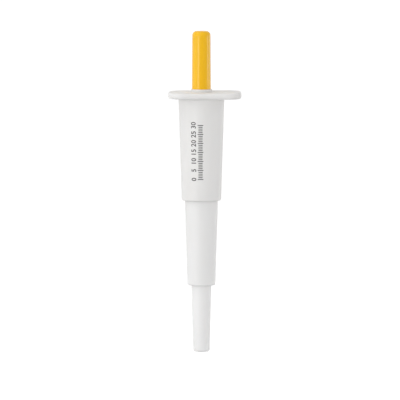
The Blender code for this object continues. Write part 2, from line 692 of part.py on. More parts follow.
def seal_stack(parts, carrier):
    """Spring, pusher, rubber ring and piston seal in the cone's cup."""
    coil(
        "seal_spring", SEAL_SPRING_RADIUS, SEAL_WIRE, SEAL_TURNS, SEAL_SPRING_LENGTH,
        SPRING_STEEL, parts, carrier, SEAL_SPRING_TOP,
    )
    skirt = (CHANNEL_RADIUS + SEAL_RADIUS) / 2
    pusher = [
        (SEAL_RADIUS, 0.0),
        (SEAL_RADIUS, -PUSHER_FLANGE),
        (skirt, -PUSHER_FLANGE),
        (skirt, -PUSHER_FLANGE - PUSHER_SKIRT),
        (CHANNEL_RADIUS, -PUSHER_FLANGE - PUSHER_SKIRT),
        (CHANNEL_RADIUS, 0.0),
    ]
    turned("seal_pusher", pusher, INNER_SIDES, NATURAL_PLASTIC, parts, carrier, PUSHER_TOP)
    ring("seal_o_ring", SEAL_RADIUS, SEAL_RING_WIRE, INNER_SIDES, BLACK_RUBBER, parts, carrier, SEAL_RING_TOP)
    seal = tube(SEAL_RADIUS, SEAL_BORE, SEAL_LENGTH)
    turned("piston_seal", seal, INNER_SIDES, SEAL_PLASTIC, parts, carrier, SEAL_TOP)


def main():
    """Build every piece, from the housing inwards."""
    clear_scene()
    parts = new_collection("micropipette")
    cutters = new_collection("cutters", hidden=True)
    housing = axis_empty("housing_axis", 0.0, parts)
    carriage = axis_empty("carriage_axis", CARRIAGE_TOP, parts, housing)
    plunger = axis_empty("plunger_axis", BUTTON_FOOT_TOP, parts, housing)

    upper_housing(parts, cutters, housing)
    guide_bush(parts, housing)
    slotted_ring("calibration_lock_ring", LOCK_RING_TOP, LOCK_RING_THICKNESS, parts, cutters, housing)
    slotted_ring("calibration_nut", NUT_TOP, NUT_THICKNESS, parts, cutters, housing)
    lower_barrel(parts, housing)
    ring(
        "barrel_o_ring", HOUSING_BORE - PRESS_GAP, NECK_RING_WIRE, SHELL_SIDES,
        BLACK_RUBBER, parts, housing, NECK_RING_HEIGHT + NECK_RING_WIRE / 2,
    )
    washer = tube(CARRIAGE_RADIUS, SPACER_BORE, BLOWOUT_WASHER_THICKNESS)
    turned("blowout_washer", washer, INNER_SIDES, SPRING_STEEL, parts, housing, BLOWOUT_WASHER_TOP)
    barrel_spacer(parts, housing)
    seal_stack(parts, housing)
    tip_cone(parts, housing)

    blowout_carriage(parts, carriage)
    coil(
        "blowout_spring", BLOWOUT_SPRING_RADIUS, BLOWOUT_WIRE, BLOWOUT_TURNS, BLOWOUT_SPRING_LENGTH,
        SPRING_STEEL, parts, carriage, BLOWOUT_SPRING_TOP,
    )

    push_button(parts, plunger)
    plunger_rod(parts, plunger)
    washer = tube(BUTTON_FOOT_RADIUS, ROD_SOCKET, WASHER_THICKNESS)
    turned("spring_washer", washer, INNER_SIDES, SPRING_STEEL, parts, plunger, WASHER_TOP)
    coil(
        "return_spring", RETURN_SPRING_RADIUS, RETURN_WIRE, RETURN_TURNS, RETURN_SPRING_LENGTH,
        SPRING_STEEL, parts, plunger, RETURN_SPRING_TOP,
    )
    stop_sleeve(parts, plunger)
    piston_holder(parts, cutters, plunger)
    piston(parts, plunger)


main()
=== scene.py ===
"""Fixed-volume mini micropipette: fine moulded shells, wound springs, finishes, printed scale and studio.

Metres, +Z up. The origin lies on the plunger's axis in the plane of the finger flange's underside.
"""

import logging
import math
from collections.abc import Iterable, Mapping, Sequence
from dataclasses import dataclass, field, replace
from enum import Enum
from typing import Any

import bmesh
import bpy
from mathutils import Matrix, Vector


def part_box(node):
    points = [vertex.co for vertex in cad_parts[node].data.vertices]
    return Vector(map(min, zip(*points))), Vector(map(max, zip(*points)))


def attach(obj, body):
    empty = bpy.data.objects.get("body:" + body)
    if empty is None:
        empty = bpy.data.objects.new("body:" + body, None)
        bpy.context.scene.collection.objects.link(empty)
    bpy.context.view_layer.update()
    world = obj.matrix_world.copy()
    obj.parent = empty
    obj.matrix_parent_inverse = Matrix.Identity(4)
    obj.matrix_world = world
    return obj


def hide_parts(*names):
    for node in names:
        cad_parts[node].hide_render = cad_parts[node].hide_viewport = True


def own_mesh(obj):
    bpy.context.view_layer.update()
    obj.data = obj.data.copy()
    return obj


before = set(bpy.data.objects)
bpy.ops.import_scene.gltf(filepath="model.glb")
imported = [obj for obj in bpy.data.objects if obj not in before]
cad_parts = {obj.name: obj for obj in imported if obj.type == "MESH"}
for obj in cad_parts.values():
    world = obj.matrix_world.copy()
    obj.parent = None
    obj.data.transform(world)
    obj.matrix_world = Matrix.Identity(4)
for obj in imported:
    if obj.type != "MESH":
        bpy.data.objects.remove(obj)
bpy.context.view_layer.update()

LOG = logging.getLogger("micropipette")

MM = 0.001
MERGE = 1e-7

# Meshes: what is shaded sharp, what counts as no corner, sides of a turned piece, segments of a rounding
SHARP_ANGLE = math.radians(35)
STRAIGHT_ANGLE = math.radians(179)
SHELL_SIDES = 144
ROUND_STEPS = 10

# Screen colours: where the curve starts, its slope before that, its offset and its power
SCREEN_KNEE = 0.04045
SCREEN_SLOPE = 12.92
SCREEN_OFFSET = 0.055
SCREEN_POWER = 2.4

# How far red, green and blue scatter below the surface of a plastic, for each metre of the scale
SCATTER_RADIUS = (1.0, 0.9, 0.8)
SCATTER_SCALE = 0.4 * MM


def linear(channel: float) -> float:
    """Return the linear value of a colour channel as written on screen."""
    if channel <= SCREEN_KNEE:
        return channel / SCREEN_SLOPE
    return ((channel + SCREEN_OFFSET) / (1 + SCREEN_OFFSET)) ** SCREEN_POWER


def colour(*channels: float) -> tuple[float, float, float, float]:
    """Return an opaque linear colour from three channels as written on screen."""
    return (*(linear(channel) for channel in channels), 1.0)


class Signal:
    """A node's output that takes part in Python expressions, each of which adds its Math node."""

    def __init__(self, graph: "Graph", socket: bpy.types.NodeSocket) -> None:
        """Keep the graph that new nodes go into, and the socket.

        Args:
            graph: The graph of nodes that the socket belongs to.
            socket: The output socket.
        """
        self.graph = graph
        self.socket = socket

    def math(self, operation: str, *operands: "Signal | float") -> "Signal":
        """Add a Math node that takes this signal first.

        Args:
            operation: The Math node's operation.
            operands: Its other operands.

        Returns:
            The node's result.
        """
        values = dict(enumerate((self, *operands)))
        return self.graph.node("ShaderNodeMath", {"operation": operation}, values)["Value"]

    def __add__(self, other: "Signal | float") -> "Signal":
        """Return self + other."""
        return self.math("ADD", other)

    __radd__ = __add__

    def __sub__(self, other: "Signal | float") -> "Signal":
        """Return self - other."""
        return self.math("SUBTRACT", other)

    def __rsub__(self, other: float) -> "Signal":
        """Return other - self."""
        return (self * -1.0) + other

    def __mul__(self, other: "Signal | float") -> "Signal":
        """Return self * other."""
        return self.math("MULTIPLY", other)

    __rmul__ = __mul__

    def __truediv__(self, other: "Signal | float") -> "Signal":
        """Return self / other."""
        return self.math("DIVIDE", other)

    def __neg__(self) -> "Signal":
        """Return -self."""
        return self * -1.0

    def rise(self, start: float, end: float) -> "Signal":
        """Return a smooth step from 0 at start to 1 at end."""
        settings = {"interpolation_type": "SMOOTHSTEP"}
        values = {"Value": self, "From Min": start, "From Max": end}
        return self.graph.node("ShaderNodeMapRange", settings, values)["Result"]


class Outputs:
    """The outputs of a node, found by identifier or by name."""

    def __init__(self, graph: "Graph", node: bpy.types.Node) -> None:
        """Keep the node.

        Args:
            graph: The graph that the node belongs to.
            node: The node.
        """
        self.graph = graph
        self.node = node

    def __getitem__(self, key: str) -> Signal:
        """Return the output with that identifier or name as a signal."""
        return Signal(self.graph, Graph.find(self.node.outputs, key))


class Graph:
    """The nodes of a material or of a geometry tree, made and joined through one method."""

    def __init__(self, tree: bpy.types.NodeTree) -> None:
        """Keep the tree.

        Args:
            tree: The node tree that nodes are added to.
        """
        self.tree = tree

    @staticmethod
    def find(sockets: Iterable[bpy.types.NodeSocket], key: "str | int") -> bpy.types.NodeSocket:
        """Find a socket by place, identifier or name.

        Args:
            sockets: A node's inputs or outputs.
            key: Its number in the list, its identifier or its name.

        Returns:
            The socket.
        """
        listed = list(sockets)
        if isinstance(key, int):
            return listed[key]
        for socket in listed:
            if key == socket.identifier:
                return socket
        return next(socket for socket in listed if key == socket.name and socket.enabled)

    def feed(self, node: bpy.types.Node, key: "str | int", value: Any) -> None:
        """Link a signal to a node's input, or set the input's own value.

        Args:
            node: The node that receives it.
            key: The input's number, identifier or name.
            value: A signal, a number, a vector or a colour.
        """
        socket = self.find(node.inputs, key)
        if isinstance(value, Signal):
            self.tree.links.new(value.socket, socket)
        else:
            socket.default_value = value

    def node(
        self,
        kind: str,
        settings: Mapping[str, Any] | None = None,
        values: "Mapping[str | int, Any] | None" = None,
    ) -> Outputs:
        """Add a node, set it up, then feed its inputs.

        Args:
            kind: The node's type.
            settings: Its own settings, which are set first.
            values: Its inputs, each a signal or a plain value.

        Returns:
            The node's outputs.
        """
        made = self.tree.nodes.new(kind)
        for name, value in (settings or {}).items():
            setattr(made, name, value)
        for key, value in (values or {}).items():
            self.feed(made, key, value)
        return Outputs(self, made)

    def combine(self, x: Any, y: Any, z: Any) -> Signal:
        """Return a vector of three signals or numbers."""
        return self.node("ShaderNodeCombineXYZ", None, {"X": x, "Y": y, "Z": z})["Vector"]

    def noise(self, coordinates: Signal, size: Sequence[float], detail: float = 2.0) -> Signal:
        """Return smooth noise from 0 to 1.

        Args:
            coordinates: Where it is read, in metres.
            size: The size of its features along X, Y and Z, in metres.
            detail: How many finer layers it has.

        Returns:
            The noise.
        """
        scale = tuple(1 / length for length in size)
        scaled = self.node("ShaderNodeVectorMath", {"operation": "MULTIPLY"}, {0: coordinates, 1: scale})
        values = {"Vector": scaled["Vector"], "Scale": 1.0, "Detail": detail, "Roughness": 0.55}
        return self.node("ShaderNodeTexNoise", None, values)["Fac"]

    def blend(self, factor: Any, first: Any, second: Any) -> Signal:
        """Return a colour between two.

        Args:
            factor: 0 for the first colour, 1 for the second.
            first: A colour or a signal.
            second: A colour or a signal.

        Returns:
            The mixed colour.
        """
        settings = {"data_type": "RGBA", "clamp_factor": True}
        values = {"Factor_Float": factor, "A_Color": first, "B_Color": second}
        return self.node("ShaderNodeMix", settings, values)["Result_Color"]


class Surface(Enum):
    """How a finish is textured."""

    MOULDED = "moulded"
    TURNED = "turned"
    DRAWN = "drawn"
    PRINTED = "printed"


@dataclass(frozen=True)
class Finish:
    """One finish: its material's name, colours as written on screen, gloss and texture.

    Attributes:
        name: The material's name.
        tint: Main colour.
        shade: Colour of its slightly darker clouds.
        roughness: Mean roughness.
        spread: How far the roughness varies.
        surface: How it is textured.
        feature: Size of the texture's main features, in metres.
        relief: Height of the texture, in metres.
        metallic: 1 for metal.
        specular: Level of its gloss, where 0.5 is common plastic.
        translucency: Share of light that scatters below the surface.
        slot: The record's material slot that it belongs to; not used.
    """

    name: str
    tint: tuple[float, float, float]
    shade: tuple[float, float, float]
    roughness: float
    spread: float
    surface: Surface
    feature: float
    relief: float
    metallic: float = 0.0
    specular: float = 0.5
    translucency: float = 0.0
    slot: str = ""

    def material(self) -> bpy.types.Material:
        """Find or make the material.

        Returns:
            The material, its nodes joined.
        """
        known = bpy.data.materials.get(self.name)
        if known is not None:
            return known
        made = bpy.data.materials.new(self.name)
        made.use_nodes = True
        graph = Graph(made.node_tree)
        shader = made.node_tree.nodes["Principled BSDF"]
        place = graph.node("ShaderNodeTexCoord")["Object"]
        clouds, gloss, height = self.texture(graph, place)
        graph.feed(shader, "Base Color", graph.blend(clouds, colour(*self.tint), colour(*self.shade)))
        graph.feed(shader, "Roughness", gloss * self.spread + (self.roughness - self.spread / 2))
        values = {"Strength": 1.0, "Distance": self.relief, "Height": height}
        graph.feed(shader, "Normal", graph.node("ShaderNodeBump", None, values)["Normal"])
        graph.feed(shader, "Metallic", self.metallic)
        graph.feed(shader, "Specular IOR Level", self.specular)
        graph.feed(shader, "Subsurface Weight", self.translucency)
        graph.feed(shader, "Subsurface Radius", SCATTER_RADIUS)
        graph.feed(shader, "Subsurface Scale", SCATTER_SCALE)
        return made

    def texture(self, graph: Graph, place: Signal) -> tuple[Signal, Signal, Signal]:
        """Lay out the patterns of colour, gloss and height.

        Args:
            graph: The material's nodes.
            place: Object coordinates.

        Returns:
            Clouds from 0 to 1, gloss from 0 to 1 and height from 0 to 1.
        """
        size = self.feature
        if self.surface is Surface.MOULDED:
            clouds = graph.noise(place, (9 * size, 9 * size, 26 * size), 3.0)
            skin = graph.noise(place, (size, size, 1.6 * size), 2.0)
            grain = graph.noise(place, (0.2 * size,) * 3, 2.0)
            gloss = graph.noise(place, (5 * size, 5 * size, 8 * size), 3.0)
            return clouds.rise(0.3, 0.75), gloss, skin * 0.8 + grain * 0.2
        if self.surface is Surface.TURNED:
            lines = graph.noise(place, (40 * size, 40 * size, size), 3.0)
            clouds = graph.noise(place, (30 * size,) * 3, 2.0)
            return clouds, lines, lines
        if self.surface is Surface.DRAWN:
            lines = graph.noise(place, (size, size, size), 3.0)
            clouds = graph.noise(place, (8 * size,) * 3, 2.0)
            return clouds, lines, lines
        flecks = graph.noise(place, (size,) * 3, 3.0)
        clouds = graph.noise(place, (6 * size,) * 3, 2.0)
        return clouds * 0.5 + flecks.rise(0.55, 0.75) * 0.5, flecks, flecks


WHITE_PLASTIC = Finish(
    "moulded_white", (0.917, 0.913, 0.908), (0.901, 0.897, 0.890), 0.42, 0.06,
    Surface.MOULDED, 0.9 * MM, 0.0015 * MM, specular=0.35, translucency=0.08, slot="white_plastic",
)
# The barrel and the cone take lighter copies of the moulded white: painted light, standing in for the
# stronger light that falls on the lower pieces.
BARREL_WHITE_PAINTED_LIGHTER = replace(
    WHITE_PLASTIC, name="barrel_white_painted_lighter", tint=(0.934, 0.932, 0.930), shade=(0.919, 0.917, 0.913),
)
CONE_WHITE_PAINTED_LIGHTER = replace(
    WHITE_PLASTIC, name="cone_white_painted_lighter", tint=(0.948, 0.946, 0.944), shade=(0.934, 0.932, 0.929),
)
YELLOW_PLASTIC = Finish(
    "moulded_yellow", (0.966, 0.747, 0.03), (0.956, 0.730, 0.02), 0.21, 0.04,
    Surface.MOULDED, 0.8 * MM, 0.0012 * MM, specular=0.3, slot="yellow_plastic",
)
NATURAL_PLASTIC = Finish(
    "turned_acetal", (0.86, 0.85, 0.81), (0.81, 0.80, 0.75), 0.45, 0.12,
    Surface.TURNED, 0.12 * MM, 0.004 * MM, translucency=0.2, slot="natural_plastic",
)
SEAL_PLASTIC = Finish(
    "turned_ptfe", (0.95, 0.95, 0.94), (0.91, 0.91, 0.89), 0.55, 0.10,
    Surface.TURNED, 0.10 * MM, 0.003 * MM, translucency=0.2, slot="seal_plastic",
)
BLACK_RUBBER = Finish(
    "nitrile_rubber", (0.11, 0.11, 0.11), (0.16, 0.16, 0.155), 0.68, 0.18,
    Surface.MOULDED, 0.18 * MM, 0.004 * MM, slot="black_rubber",
)
SPRING_STEEL = Finish(
    "drawn_steel", (0.66, 0.66, 0.67), (0.57, 0.57, 0.58), 0.30, 0.14,
    Surface.DRAWN, 0.10 * MM, 0.002 * MM, metallic=1.0, slot="spring_steel",
)
POLISHED_STEEL = Finish(
    "ground_steel", (0.80, 0.80, 0.81), (0.76, 0.76, 0.77), 0.14, 0.08,
    Surface.TURNED, 0.05 * MM, 0.0006 * MM, metallic=1.0, slot="polished_steel",
)
GREY_INK = Finish(
    "grey_ink", (0.15, 0.15, 0.16), (0.25, 0.25, 0.25), 0.45, 0.12,
    Surface.PRINTED, 0.10 * MM, 0.002 * MM, slot="white_plastic",
)
PALE_INK = Finish(
    "pale_ink", (0.18, 0.18, 0.19), (0.29, 0.29, 0.29), 0.45, 0.12,
    Surface.PRINTED, 0.10 * MM, 0.002 * MM, slot="white_plastic",
)


@dataclass(frozen=True)
class Corner:
    """One corner of a turned profile.

    Attributes:
        radius: Its distance from the axis.
        height: Its height.
        rounding: Radius of its rounding, or 0 for a sharp corner.
    """

    radius: float
    height: float
    rounding: float = 0.0

    def towards(self, other: "Corner") -> tuple[Vector, float]:
        """Return the direction to another corner, and the length on that side that a rounding may use."""
        run = Vector((other.radius - self.radius, other.height - self.height))
        return run.normalized(), run.length / 2 if other.rounding else run.length


@dataclass(frozen=True)
class Profile:
    """Outline of a turned piece, down its outer side and back up its bore if it has one.

    Attributes:
        corners: Its corners in order.
        closed: Whether the last corner joins the first.
    """

    corners: tuple[Corner, ...]
    closed: bool = True

    def arc(self, before: Corner, corner: Corner, after: Corner) -> list[tuple[float, float]]:
        """Round one corner.

        Args:
            before: The corner before it.
            corner: The corner.
            after: The corner after it.

        Returns:
            Points (radius, height) of the rounding, or the corner alone.
        """
        first, first_room = corner.towards(before)
        second, second_room = corner.towards(after)
        opening = first.angle(second)
        if corner.rounding <= 0 or opening > STRAIGHT_ANGLE:
            return [(corner.radius, corner.height)]
        tangent = min(corner.rounding / math.tan(opening / 2), first_room, second_room)
        radius = tangent * math.tan(opening / 2)
        tip = Vector((corner.radius, corner.height))
        centre = tip + (first + second).normalized() * (radius / math.sin(opening / 2))
        start = tip + first * tangent - centre
        end = tip + second * tangent - centre
        turn = math.pi - opening
        points = []
        for step in range(ROUND_STEPS + 1):
            share = step / ROUND_STEPS
            spoke = (start * math.sin((1 - share) * turn) + end * math.sin(share * turn)) / math.sin(turn)
            points.append(tuple(centre + spoke))
        return points

    def points(self) -> list[tuple[float, float]]:
        """Return the points (radius, height) of the outline, its corners rounded."""
        made = []
        count = len(self.corners)
        for index, corner in enumerate(self.corners):
            if self.closed or 0 < index < count - 1:
                made += self.arc(self.corners[index - 1], corner, self.corners[(index + 1) % count])
            else:
                made.append((corner.radius, corner.height))
        return made


class Piece:
    """One piece of the pipette, from its mesh to its finish and its body."""

    def __init__(self, name: str, finish: Finish) -> None:
        """Start an empty form.

        Args:
            name: The object's name.
            finish: Its finish.
        """
        self.name = name
        self.finish = finish
        self.form = bmesh.new()

    def turn(self, profile: Profile) -> list[list[bmesh.types.BMVert]]:
        """Turn a profile about the axis.

        Args:
            profile: The outline, with its outer side running down.

        Returns:
            The rings of vertices, one for each point of the profile. A pole has a single vertex.
        """
        rings = []
        for radius, height in profile.points():
            if radius < MERGE:
                rings.append([self.form.verts.new((0.0, 0.0, height))])
                continue
            angles = (math.tau * side / SHELL_SIDES for side in range(SHELL_SIDES))
            spots = [(radius * math.cos(angle), radius * math.sin(angle), height) for angle in angles]
            rings.append([self.form.verts.new(spot) for spot in spots])
        self.skin(rings, profile.closed and len(rings[0]) > 1)
        return rings

    def skin(self, rings: Sequence[list[bmesh.types.BMVert]], closed: bool = False) -> None:
        """Join rings of vertices by faces.

        Args:
            rings: The rings in order, outside to the left.
            closed: Whether the last ring joins the first.
        """
        pairs = list(zip(rings, rings[1:]))
        if closed:
            pairs.append((rings[-1], rings[0]))
        for upper, lower in pairs:
            count = max(len(upper), len(lower))
            for side in range(count):
                after = (side + 1) % count
                corners = [
                    upper[side % len(upper)], lower[side % len(lower)],
                    lower[after % len(lower)], upper[after % len(upper)],
                ]
                self.form.faces.new(list(dict.fromkeys(corners)))

    def sheet(self, *loops: list[bmesh.types.BMVert]) -> None:
        """Fill the flat ring between two loops round the axis by a strip of triangles.

        Args:
            loops: The two loops of vertices.
        """
        strips = []
        for loop in loops:
            angles = {vertex: math.atan2(vertex.co.y, vertex.co.x) % math.tau for vertex in loop}
            around = sorted(angles.items(), key=lambda item: item[1])
            first, angle = around[0]
            strips.append([*around, (first, angle + math.tau)])
        places = [0, 0]
        for _ in range(sum(len(loop) for loop in loops)):
            ahead = [strip[place + 1:place + 2] for strip, place in zip(strips, places)]
            reach = [step[0][1] if step else math.inf for step in ahead]
            side = reach.index(min(reach))
            corners = [strip[place][0] for strip, place in zip(strips, places)]
            self.form.faces.new((*corners, ahead[side][0][0]))
            places[side] += 1

    def complete(self, body: str, *nodes: str) -> None:
        """Make the object, smooth it, dress it and let it ride on its body.

        Args:
            body: The CAD body that carries it.
            nodes: The CAD nodes that it stands for.
        """
        bmesh.ops.remove_doubles(self.form, verts=self.form.verts, dist=MERGE)
        bmesh.ops.recalc_face_normals(self.form, faces=self.form.faces)
        mesh = bpy.data.meshes.new(self.name)
        self.form.to_mesh(mesh)
        self.form.free()
        mesh.shade_smooth()
        mesh.set_sharp_from_angle(angle=SHARP_ANGLE)
        mesh.materials.append(self.finish.material())
        made = show(self.name, mesh)
        made.modifiers.new("weighted_normals", "WEIGHTED_NORMAL").keep_sharp = True
        bake(made)
        mount(made, self.finish, body, *nodes)


def show(name: str, data: bpy.types.ID) -> bpy.types.Object:
    """Return a new object at the origin of the scene that shows a mesh, a text, a lamp or a camera."""
    made = bpy.data.objects.new(name, data)
    bpy.context.scene.collection.objects.link(made)
    return made


def bake(made: bpy.types.Object) -> None:
    """Replace an object's mesh by what its modifiers make of it, and remove them."""
    bpy.context.view_layer.update()
    graph = bpy.context.evaluated_depsgraph_get()
    mesh = bpy.data.meshes.new_from_object(
        made.evaluated_get(graph), preserve_all_data_layers=True, depsgraph=graph,
    )
    mesh.name = made.name
    made.modifiers.clear()
    made.data = mesh


def mount(made: bpy.types.Object, finish: Finish, body: str, *nodes: str) -> None:
    """Let a finished piece ride on its body and stand for its CAD nodes.

    Args:
        made: The piece, its place in its mesh.
        finish: Its finish.
        body: The CAD body that carries it.
        nodes: The CAD nodes that it stands for.
    """
    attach(made, body)
    if nodes:
        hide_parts(*nodes)
    LOG.info("%s rides on %s, %d faces", made.name, body, len(made.data.polygons))


@dataclass
class Plunger:
    """Push button, which slides in the guide bush and carries the rod."""

    top_radius: float = 2.75 * MM
    radius: float = 2.85 * MM
    top_round: float = 1.35 * MM
    foot_thickness: float = 1.2 * MM
    foot_round: float = 0.2 * MM
    taper_start: float = 2.75 * MM
    rod_socket: float = 1.31 * MM
    socket_depth: float = 17.2 * MM
    dish: float = 0.06 * MM
    dish_share: float = 0.55
    body_break: float = 0.15 * MM

    def build(self) -> None:
        """Make the button: a rounded top with a faint hollow, a long body, a foot and a blind socket."""
        low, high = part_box("push_button")
        foot = low.z + self.foot_thickness
        rim = self.top_radius - self.top_round
        profile = Profile((
            Corner(0.0, high.z - self.dish),
            Corner(self.dish_share * rim, high.z - self.dish),
            Corner(rim, high.z),
            Corner(self.top_radius, high.z, self.top_round),
            Corner(self.radius, self.taper_start),
            Corner(self.radius, foot, self.body_break),
            Corner(high.x, foot, self.foot_round),
            Corner(high.x, low.z, self.foot_round),
            Corner(self.rod_socket, low.z),
            Corner(self.rod_socket, low.z + self.socket_depth),
            Corner(0.0, low.z + self.socket_depth),
        ), closed=False)
        piece = Piece("button", YELLOW_PLASTIC)
        piece.turn(profile)
        piece.complete("plunger", "push_button")


@dataclass
class Housing:
    """Upper housing with its finger flange, and the guide bush that shows as a collar."""

    top_radius: float = 6.91 * MM
    foot_radius: float = 5.94 * MM
    bore: float = 5.12 * MM
    roof_depth: float = 0.8 * MM
    roof_round: float = 0.1 * MM
    mouth_flare: float = 0.26 * MM
    foot_round: float = 0.45 * MM
    thickness: float = 1.9 * MM
    root_fillet: float = 0.5 * MM
    left_corner: float = 5.4 * MM
    right_corner: float = 3.7 * MM
    edge_round: float = 0.75 * MM
    collar_gap: float = 0.06 * MM
    collar_break: float = 0.12 * MM
    collar_wall: float = 0.24 * MM
    collar_round: float = 0.15 * MM
    bush_bore: float = 2.97 * MM
    bush_bore_round: float = 0.08 * MM
    shoulder_length: float = 1.8 * MM
    shoulder_round: float = 0.15 * MM
    corner_steps: int = 24

    def rim(self, piece: Piece, inset: float, height: float) -> list[bmesh.types.BMVert]:
        """Add the flange's outline, moved inwards, at a height.

        Args:
            piece: The piece that it is part of.
            inset: How far inside the flange's edge it runs.
            height: Its height.

        Returns:
            Its vertices, anticlockwise as seen from above.
        """
        low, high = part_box("upper_housing")
        half = high.y
        arcs = (
            (high.x - self.right_corner, self.right_corner - half, self.right_corner, 3),
            (high.x - self.right_corner, half - self.right_corner, self.right_corner, 0),
            (low.x + self.left_corner, half - self.left_corner, self.left_corner, 1),
            (low.x + self.left_corner, self.left_corner - half, self.left_corner, 2),
        )
        vertices = []
        for x, y, radius, quarter in arcs:
            for step in range(self.corner_steps + 1):
                angle = math.pi / 2 * (quarter + step / self.corner_steps)
                reach = radius - inset
                spot = (x + reach * math.cos(angle), y + reach * math.sin(angle), height)
                vertices.append(piece.form.verts.new(spot))
        return vertices

    def shell(self) -> None:
        """Make the tapered shell, its roof and bore, and the rounded plate of the flange in one skin."""
        low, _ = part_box("upper_housing")
        collar_radius = self.collar_radius() + self.collar_gap
        piece = Piece("housing_shell", WHITE_PLASTIC)
        profile = Profile((
            Corner(self.top_radius + self.root_fillet, 0.0),
            Corner(self.top_radius, 0.0, self.root_fillet),
            Corner(self.foot_radius, low.z, self.foot_round),
            Corner(self.bore + self.mouth_flare, low.z),
            Corner(self.bore, low.z + self.foot_round),
            Corner(self.bore, -self.roof_depth, self.roof_round),
            Corner(collar_radius, -self.roof_depth),
            Corner(collar_radius, self.thickness - self.collar_break),
            Corner(collar_radius + self.collar_break, self.thickness),
        ), closed=False)
        rings = piece.turn(profile)
        lifts = [math.pi / 2 * step / ROUND_STEPS for step in range(ROUND_STEPS + 1)]
        lower = [(self.edge_round * (1 - math.sin(a)), self.edge_round * (1 - math.cos(a))) for a in lifts]
        upper = [(inset, self.thickness - height) for inset, height in reversed(lower)]
        rims = [self.rim(piece, inset, height) for inset, height in lower + upper]
        piece.skin(rims)
        piece.sheet(rings[0], rims[0])
        piece.sheet(rings[-1], rims[-1])
        piece.complete("housing", "upper_housing")

    def collar_radius(self) -> float:
        """Return the outer radius of the collar round the button."""
        return self.bush_bore + self.collar_wall

    def collar(self) -> None:
        """Make the guide bush: a rounded collar on a shoulder that sits under the roof."""
        low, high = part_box("guide_bush")
        outer = self.collar_radius()
        profile = Profile((
            Corner(outer, high.z, self.collar_round),
            Corner(outer, low.z + self.shoulder_length),
            Corner(high.x, low.z + self.shoulder_length),
            Corner(high.x, low.z, self.shoulder_round),
            Corner(self.bush_bore, low.z),
            Corner(self.bush_bore, high.z, self.bush_bore_round),
        ))
        piece = Piece("button_collar", WHITE_PLASTIC)
        piece.turn(profile)
        piece.complete("housing", "guide_bush")

    def build(self) -> None:
        """Make the shell and the collar."""
        self.shell()
        self.collar()


@dataclass
class Barrel:
    """Lower barrel and the tip cone that it holds."""

    neck_radius: float = 5.0 * MM
    neck_break: float = 0.25 * MM
    foot_radius: float = 4.2 * MM
    foot_round: float = 0.5 * MM
    groove_radius: float = 4.3 * MM
    groove_half: float = 0.41 * MM
    groove_drop: float = 2.6 * MM
    groove_break: float = 0.05 * MM
    upper_bore: float = 3.92 * MM
    step_height: float = -32.1 * MM
    lower_bore: float = 3.48 * MM
    bore_round: float = 0.2 * MM
    mouth: float = 3.11 * MM
    mouth_round: float = 0.1 * MM
    shelf_height: float = -51.28 * MM
    cone_radius: float = 2.99 * MM
    cone_end_radius: float = 2.49 * MM
    cone_end_round: float = 0.68 * MM
    cone_flange: float = 1.2 * MM
    cone_break: float = 0.1 * MM
    cone_bore: float = 0.6 * MM
    cone_bore_round: float = 0.08 * MM
    cup_radius: float = 2.25 * MM
    cup_gap: float = 0.2 * MM
    channel_radius: float = 1.12 * MM
    channel_depth: float = 12.6 * MM

    def barrel(self) -> None:
        """Make the tapered barrel with its neck, ring groove, stepped bore and mouth."""
        housing_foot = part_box("upper_housing")[0].z
        low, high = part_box("lower_barrel")
        groove = high.z - self.groove_drop
        profile = Profile((
            Corner(self.neck_radius, high.z, self.neck_break),
            Corner(self.neck_radius, groove + self.groove_half, self.groove_break),
            Corner(self.groove_radius, groove + self.groove_half),
            Corner(self.groove_radius, groove - self.groove_half),
            Corner(self.neck_radius, groove - self.groove_half, self.groove_break),
            Corner(self.neck_radius, housing_foot),
            Corner(self.foot_radius, low.z, self.foot_round),
            Corner(self.mouth, low.z, self.mouth_round),
            Corner(self.mouth, self.shelf_height),
            Corner(self.lower_bore, self.shelf_height),
            Corner(self.lower_bore, self.step_height),
            Corner(self.upper_bore, self.step_height),
            Corner(self.upper_bore, high.z, self.bore_round),
        ))
        # The barrel's white is a lighter copy of the housing's: painted light.
        piece = Piece("barrel_shell", BARREL_WHITE_PAINTED_LIGHTER)
        piece.turn(profile)
        piece.complete("housing", "lower_barrel")

    def cone(self) -> None:
        """Make the tip cone with its flange, rounded end, seal cup and air channel."""
        barrel_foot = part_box("lower_barrel")[0].z
        low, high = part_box("tip_cone")
        cup_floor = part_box("piston_seal")[0].z - self.cup_gap
        channel_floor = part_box("piston")[0].z - self.channel_depth
        profile = Profile((
            Corner(high.x, high.z, self.cone_break),
            Corner(high.x, high.z - self.cone_flange),
            Corner(self.cone_radius, high.z - self.cone_flange, self.cone_break),
            Corner(self.cone_radius, barrel_foot),
            Corner(self.cone_end_radius, low.z, self.cone_end_round),
            Corner(self.cone_bore, low.z, self.cone_bore_round),
            Corner(self.cone_bore, channel_floor - self.channel_radius + self.cone_bore),
            Corner(self.channel_radius, channel_floor),
            Corner(self.channel_radius, cup_floor),
            Corner(self.cup_radius, cup_floor),
            Corner(self.cup_radius, high.z),
        ))
        # The cone's white is a lighter copy of the housing's: painted light.
        piece = Piece("cone", CONE_WHITE_PAINTED_LIGHTER)
        piece.turn(profile)
        piece.complete("housing", "tip_cone")

    def build(self) -> None:
        """Make the barrel and the cone."""
        self.barrel()
        self.cone()


